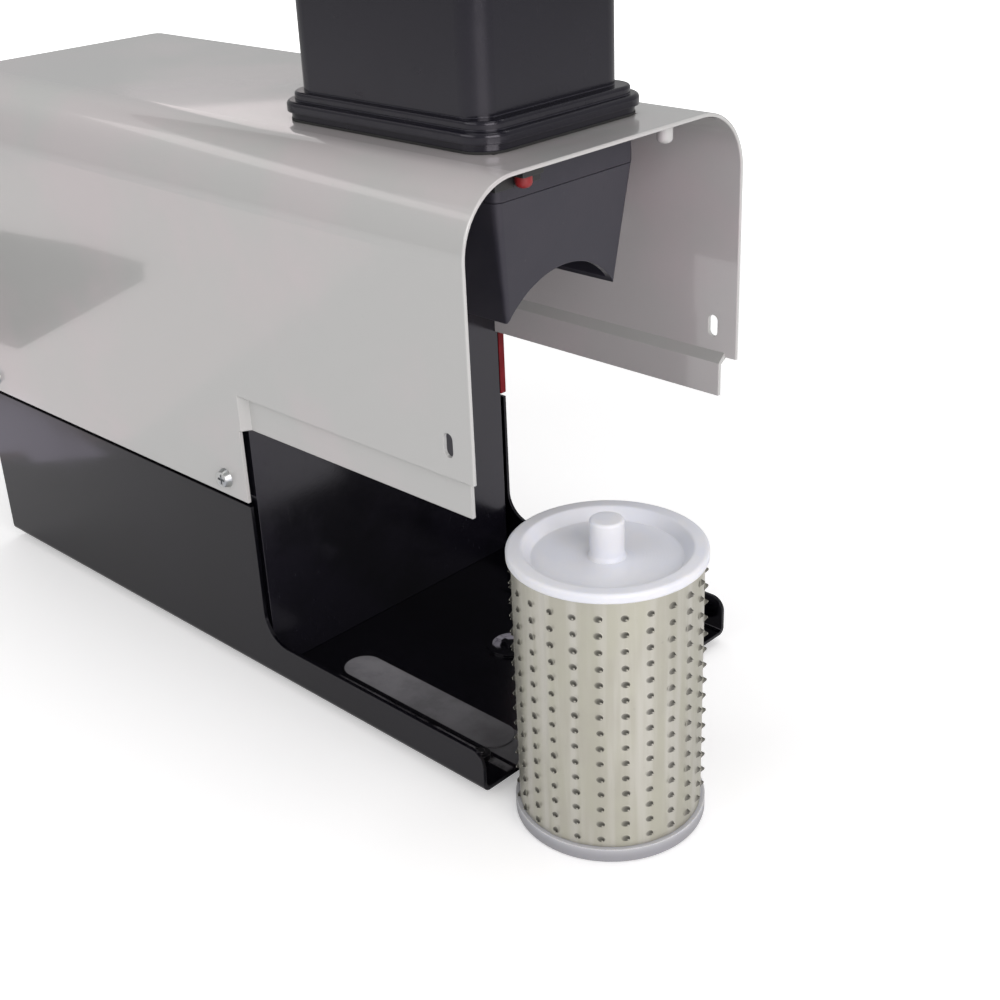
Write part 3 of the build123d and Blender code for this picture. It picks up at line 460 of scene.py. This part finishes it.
def makeTube():
    # thin wall, very slightly flattened between the rows, with the sheet's lapped seam
    shape = bmesh.new()
    axisX, axisY = rollerAxis()
    steps = sleeve["columns"] * 12
    rings = []
    for radiusShift, z in ((0, "low"), (0, "high"), (-sleeve["wall"], "high"), (-sleeve["wall"], "low")):
        ring = []
        for step in range(steps):
            turn = 360.0 * step / steps
            fromRow = math.radians((turn - sleeve["turn"]) * sleeve["columns"])
            radius = sleeve["outer"] + radiusShift + 0.035 * math.cos(fromRow) - 0.035
            away = abs((turn - sleeve["seamTurn"] + 180.0) % 360.0 - 180.0)
            if radiusShift == 0 and away < sleeve["seamWide"]:
                radius += sleeve["seamHigh"]
            x = axisX + radius * mm * math.cos(math.radians(turn))
            y = axisY + radius * mm * math.sin(math.radians(turn))
            ring.append(shape.verts.new((x, y, sleeve[z] * mm)))
        rings.append(ring)
    for k in range(4):
        lower, upper = rings[k], rings[(k + 1) % 4]
        for step in range(steps):
            after = (step + 1) % steps
            shape.faces.new((lower[step], lower[after], upper[after], upper[step]))
    mesh = meshFrom("sleeveTube", shape)
    mesh.set_sharp_from_angle(angle=math.radians(40))
    return mesh


def makeBurr():
    # one punched tooth: a smooth leaning hood with painted shade on its flanks, for the torn hole and dark
    # reflections of the real tooth, and less of it at its tip
    shape = bmesh.new()
    around = 12
    wide, high, lean = (sleeve[k] * mm for k in ("burrWide", "burrHigh", "lean"))
    # size, height, lean and painted shade of each ring, from the foot up
    levels = ((1.5, -0.05, 0.0, 0.0), (1.1, 0.1, 0.15, 0.75), (0.76, 0.46, 0.45, 1.0),
              (0.45, 0.82, 0.75, 1.0), (0.2, 1.0, 0.9, 0.15))
    rings, shades = [], []
    for size, height, shift, dark in levels:
        ring = []
        for step in range(around):
            turn = 2 * math.pi * step / around
            ring.append(shape.verts.new((size * wide * 0.85 * math.cos(turn),
                                         size * wide * math.sin(turn) + shift * lean, height * high)))
            shades.append(dark * (0.9 + 0.1 * math.sin(turn)))
        rings.append(ring)
    for lower, upper in zip(rings, rings[1:]):
        for step in range(around):
            after = (step + 1) % around
            shape.faces.new((lower[step], lower[after], upper[after], upper[step]))
    shape.faces.new(rings[-1])
    mesh = meshFrom("burr", shape)
    mesh.attributes.new("burrShade", "FLOAT", "POINT").data.foreach_set("value", shades)
    return mesh


def makeScatter(burr):
    # places one burr on each point of a grid wrapped round the sleeve
    tree = bpy.data.node_groups.new("burrScatter", "GeometryNodeTree")
    sockets = {}
    tree.interface.new_socket("Geometry", in_out="INPUT", socket_type="NodeSocketGeometry")
    for label, kind in (("Columns", "Int"), ("Rows", "Int"), ("Pitch", "Float"), ("First Row", "Float"),
                        ("Turn", "Float"), ("Radius", "Float"), ("Jitter", "Float"), ("Climb", "Float"),
                        ("Level Column", "Int"), ("Seed", "Int"), ("Burr", "Object")):
        sockets[label] = tree.interface.new_socket(label, in_out="INPUT", socket_type="NodeSocket" + kind)
    tree.interface.new_socket("Geometry", in_out="OUTPUT", socket_type="NodeSocketGeometry")
    given = tree.nodes.new("NodeGroupInput").outputs
    index = addNode(tree, "GeometryNodeInputIndex").outputs[0]
    count = mathNode(tree, "MULTIPLY", given["Columns"], given["Rows"])
    points = addNode(tree, "GeometryNodePoints", {"Count": count})
    column = mathNode(tree, "MODULO", index, given["Columns"])
    row = mathNode(tree, "FLOOR", mathNode(tree, "DIVIDE", index, given["Columns"]))
    step = mathNode(tree, "DIVIDE", 2 * math.pi, given["Columns"])
    wobble = addNode(tree, "FunctionNodeRandomValue",
                     {"Min": (-1, -1, -1), "Max": (1, 1, 1), "Seed": given["Seed"]},
                     data_type="FLOAT_VECTOR").outputs[0]
    shift = addNode(tree, "ShaderNodeSeparateXYZ", {0: wobble}).outputs
    sway = mathNode(tree, "MULTIPLY", shift[0], mathNode(tree, "DIVIDE", given["Jitter"], given["Radius"]))
    turn = mathNode(tree, "ADD", mathNode(tree, "MULTIPLY_ADD", column, step, given["Turn"]), sway)
    # rows climb a little from column to column, level at one of them and stepped at the back
    half = mathNode(tree, "FLOOR", mathNode(tree, "DIVIDE", given["Columns"], 2.0))
    fromLevel = mathNode(tree, "SUBTRACT", column, mathNode(tree, "SUBTRACT", given["Level Column"], half))
    fromLevel = mathNode(tree, "SUBTRACT", mathNode(tree, "FLOORED_MODULO", fromLevel, given["Columns"]),
                         half)
    height = mathNode(tree, "ADD", mathNode(tree, "MULTIPLY_ADD", row, given["Pitch"], given["First Row"]),
                      mathNode(tree, "MULTIPLY", shift[1], given["Jitter"]))
    height = mathNode(tree, "MULTIPLY_ADD", fromLevel, given["Climb"], height)
    place = addNode(tree, "ShaderNodeCombineXYZ", {
        0: mathNode(tree, "MULTIPLY", mathNode(tree, "COSINE", turn), given["Radius"]),
        1: mathNode(tree, "MULTIPLY", mathNode(tree, "SINE", turn), given["Radius"]), 2: height}).outputs[0]
    spin = addNode(tree, "ShaderNodeCombineXYZ", {
        0: mathNode(tree, "MULTIPLY", shift[2], 0.12), 1: math.pi / 2, 2: turn}).outputs[0]
    put = addNode(tree, "GeometryNodeSetPosition", {"Geometry": points.outputs[0], "Position": place})
    item = addNode(tree, "GeometryNodeObjectInfo", {"Object": given["Burr"]})
    size = addNode(tree, "FunctionNodeRandomValue", {2: 0.93, 3: 1.07, "Seed": given["Seed"]},
                   data_type="FLOAT").outputs[1]
    stamp = addNode(tree, "GeometryNodeInstanceOnPoints", {
        "Points": put.outputs[0], "Instance": item.outputs["Geometry"], "Rotation": spin, "Scale": size})
    real = addNode(tree, "GeometryNodeRealizeInstances", {0: stamp.outputs[0]})
    finish = addNode(tree, "GeometryNodeSetMaterial",
                     {"Geometry": real.outputs[0], "Material": materials["tinnedSteel"]})
    tree.links.new(finish.outputs[0], tree.nodes.new("NodeGroupOutput").inputs[0])
    return tree, sockets


def makeSleeve():
    axisX, axisY = rollerAxis()
    burr = bpy.data.objects.new("burr", makeBurr())
    carrier = bpy.data.objects.new("burrField", bpy.data.meshes.new("burrField"))
    bpy.context.scene.collection.objects.link(burr)
    bpy.context.scene.collection.objects.link(carrier)
    tree, sockets = makeScatter(burr)
    scatter = carrier.modifiers.new("scatter", "NODES")
    scatter.node_group = tree
    values = {"Columns": sleeve["columns"], "Rows": sleeve["rows"], "Pitch": sleeve["pitch"] * mm,
              "First Row": sleeve["firstRow"] * mm, "Turn": math.radians(sleeve["turn"]),
              "Radius": (sleeve["outer"] - 0.02) * mm, "Jitter": sleeve["jitter"] * mm,
              "Climb": sleeve["climb"] * mm, "Level Column": sleeve["levelColumn"],
              "Seed": sleeve["seed"], "Burr": burr}
    for label, value in values.items():
        scatter[sockets[label].identifier] = value
    carrier.update_tag()
    bpy.context.view_layer.update()
    graph = bpy.context.evaluated_depsgraph_get()
    field = bpy.data.meshes.new_from_object(carrier.evaluated_get(graph), depsgraph=graph)
    carrier.modifiers.clear()
    field.transform(Matrix.Translation((axisX, axisY, 0.0)))
    shape = bmesh.new()
    shape.from_mesh(makeTube())
    shape.from_mesh(field)
    mesh = bpy.data.meshes.new("spikedSleeve")
    shape.to_mesh(mesh)
    shape.free()
    mesh.materials.append(materials["tinnedSteel"])
    for face in mesh.polygons:
        face.material_index = 0
    piece = bpy.data.objects.new("spikedSleeve", mesh)
    bpy.context.scene.collection.objects.link(piece)
    for spare in (burr, carrier):
        bpy.data.objects.remove(spare)
    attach(piece, "roller")
    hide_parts("drum_shell")
    print("sleeve made:", len(mesh.polygons), "faces")


makeSleeve()


studio = dict(floorSide=14.0, floorTone=0.9, floorLift=0.29, liftFrom=0.45, liftTo=1.3, skyLight=0.42,
              skyShown=1.0)
cameraSpot = dict(place=(0.46806, -0.39250, 0.35299), heading=134.889, tilt=26.247, roll=-2.642,
                  lens=54.474)
lamps = {
    "frontBox": dict(place=(1.6, -0.55, 0.75), aim=(0.05, 0.0, 0.13), size=(1.3, 1.0), power=19,
                     tint=(1.0, 0.965, 0.98)),
    "nearBox": dict(place=(-0.5, -1.7, 1.25), aim=(-0.05, 0.0, 0.12), size=(1.6, 1.0), power=9,
                    tint=(1.0, 0.99, 0.99)),
    "topBox": dict(place=(-0.1, 0.5, 1.9), aim=(0.0, 0.0, 0.2), size=(1.8, 1.4), power=12,
                   tint=(1.0, 1.0, 1.0)),
}
# cards stand in for the room and only show in glossy surfaces: three on the table, three upright
cards = {
    "pinkCard": dict(
        corners=[(-0.26, -0.185, 0.002), (-0.312, -0.291, 0.002), (-0.389, -0.461, 0.002),
                 (-0.47, -0.6, 0.002), (-0.86, -0.62, 0.002), (-1.1, -0.3, 0.002), (-0.5, -0.1, 0.002),
                 (-0.3, -0.1, 0.002)],
        tone=0.9, glow=0.16, tint=(1.0, 0.92, 0.93)),
    "darkCard": dict(
        corners=[(-0.626, -0.383, 0.004), (-0.543, -0.385, 0.004), (-0.506, -0.36, 0.004),
                 (-0.446, -0.218, 0.004), (-0.75, -0.19, 0.004), (-0.85, -0.34, 0.004)],
        tone=0.01, glow=0.0, tint=(1.0, 1.0, 1.0)),
    "violetCard": dict(
        corners=[(-0.377, -0.171, 0.004), (-0.309, -0.165, 0.004), (-0.243, -0.158, 0.004),
                 (-0.27, -0.125, 0.004), (-0.29, -0.128, 0.004), (-0.33, -0.09, 0.004),
                 (-0.42, -0.09, 0.004)],
        tone=0.9, glow=0.8, tint=(0.93, 0.88, 1.0)),
    "bandCard": dict(
        corners=[(-1.96, -0.3, 1.38), (-1.75, -0.97, 1.42), (-1.27, -1.55, 1.42), (-1.27, -1.55, 1.68),
                 (-1.75, -0.97, 1.68), (-1.96, -0.3, 1.6)],
        tone=0.5, glow=0.75, tint=(1.0, 0.95, 0.95)),
    "shadeCard": dict(
        corners=[(-1.3, 1.3, 1.2), (-1.95, 0.3, 1.45), (-2.0, -0.2, 1.62), (-1.75, -0.9, 1.75),
                 (-1.3, -0.8, 2.5), (-1.4, 0.3, 2.5), (-1.0, 1.0, 2.1)],
        tone=0.01, glow=0.0, tint=(1.0, 1.0, 1.0)),
    "topCard": dict(
        corners=[(-1.74, 1.0, 0.62), (-1.42, 1.4, 0.62), (-1.38, 1.3, 0.95), (-1.75, 0.95, 1.2)],
        tone=0.5, glow=0.55, tint=(1.0, 0.93, 0.93)),
}


def makePanel(name, corners, tone, glow, tint, shown=False):
    # the floor, or a card; the floor's own glow keeps it white away from the object
    mesh = bpy.data.meshes.new(name)
    mesh.from_pydata(corners, [], [tuple(range(len(corners)))])
    panel = bpy.data.objects.new(name, mesh)
    bpy.context.scene.collection.objects.link(panel)
    material, tree, shader, place = startMaterial(name)
    shader.inputs["Base Color"].default_value = (*(tone * t for t in tint), 1)
    shader.inputs["Roughness"].default_value = 0.6
    shader.inputs["Emission Color"].default_value = (*tint, 1)
    shader.inputs["Emission Strength"].default_value = glow
    if shown:
        seen = addNode(tree, "ShaderNodeLightPath").outputs["Is Camera Ray"]
        away = addNode(tree, "ShaderNodeVectorMath", {0: place}, operation="LENGTH").outputs["Value"]
        lift = spread(tree, away, studio["liftFrom"], studio["liftTo"], glow, 1.0)
        tree.links.new(mathNode(tree, "MULTIPLY", seen, lift), shader.inputs["Emission Strength"])
    panel.visible_camera = panel.visible_diffuse = panel.visible_shadow = shown
    mesh.materials.append(material)


def makeLight(name, place, aim, size, power, tint):
    light = bpy.data.lights.new(name, "AREA")
    light.shape = "RECTANGLE"
    light.size, light.size_y = size
    light.energy = power
    light.color = tint
    lamp = bpy.data.objects.new(name, light)
    lamp.location = place
    lamp.rotation_euler = (Vector(aim) - Vector(place)).to_track_quat("-Z", "Y").to_euler()
    bpy.context.scene.collection.objects.link(lamp)


def makeCamera():
    heading, tilt, roll = (math.radians(cameraSpot[k]) for k in ("heading", "tilt", "roll"))
    ahead = Vector((math.cos(heading) * math.cos(tilt), math.sin(heading) * math.cos(tilt),
                    -math.sin(tilt)))
    level = Vector((math.sin(heading), -math.cos(heading), 0.0))
    over = level.cross(ahead)
    right = level * math.cos(roll) + over * math.sin(roll)
    up = over * math.cos(roll) - level * math.sin(roll)
    camera = bpy.data.objects.new("camera", bpy.data.cameras.new("camera"))
    camera.data.lens = cameraSpot["lens"]
    camera.data.clip_start = 0.01
    aimed = Matrix((right, up, -ahead)).transposed().to_4x4()
    camera.matrix_world = Matrix.Translation(cameraSpot["place"]) @ aimed
    bpy.context.scene.collection.objects.link(camera)
    bpy.context.scene.camera = camera


def makeSky():
    world = bpy.data.worlds.new("studio")
    bpy.context.scene.world = world
    world.use_nodes = True
    tree = world.node_tree
    seen = addNode(tree, "ShaderNodeLightPath").outputs["Is Camera Ray"]
    strength = spread(tree, seen, 0.0, 1.0, studio["skyLight"], studio["skyShown"])
    background = tree.nodes["Background"]
    background.inputs["Color"].default_value = (1.0, 1.0, 1.0, 1)
    tree.links.new(strength, background.inputs["Strength"])


side = studio["floorSide"] / 2
makePanel("studioFloor", [(-side, -side, 0), (side, -side, 0), (side, side, 0), (-side, side, 0)],
          studio["floorTone"], studio["floorLift"], (1.0, 1.0, 1.0), True)
for name, settings in cards.items():
    makePanel(name, **settings)
makeSky()
makeCamera()
for name, settings in lamps.items():
    makeLight(name, **settings)
bpy.context.scene.view_settings.view_transform = "Standard"
print("studio made")
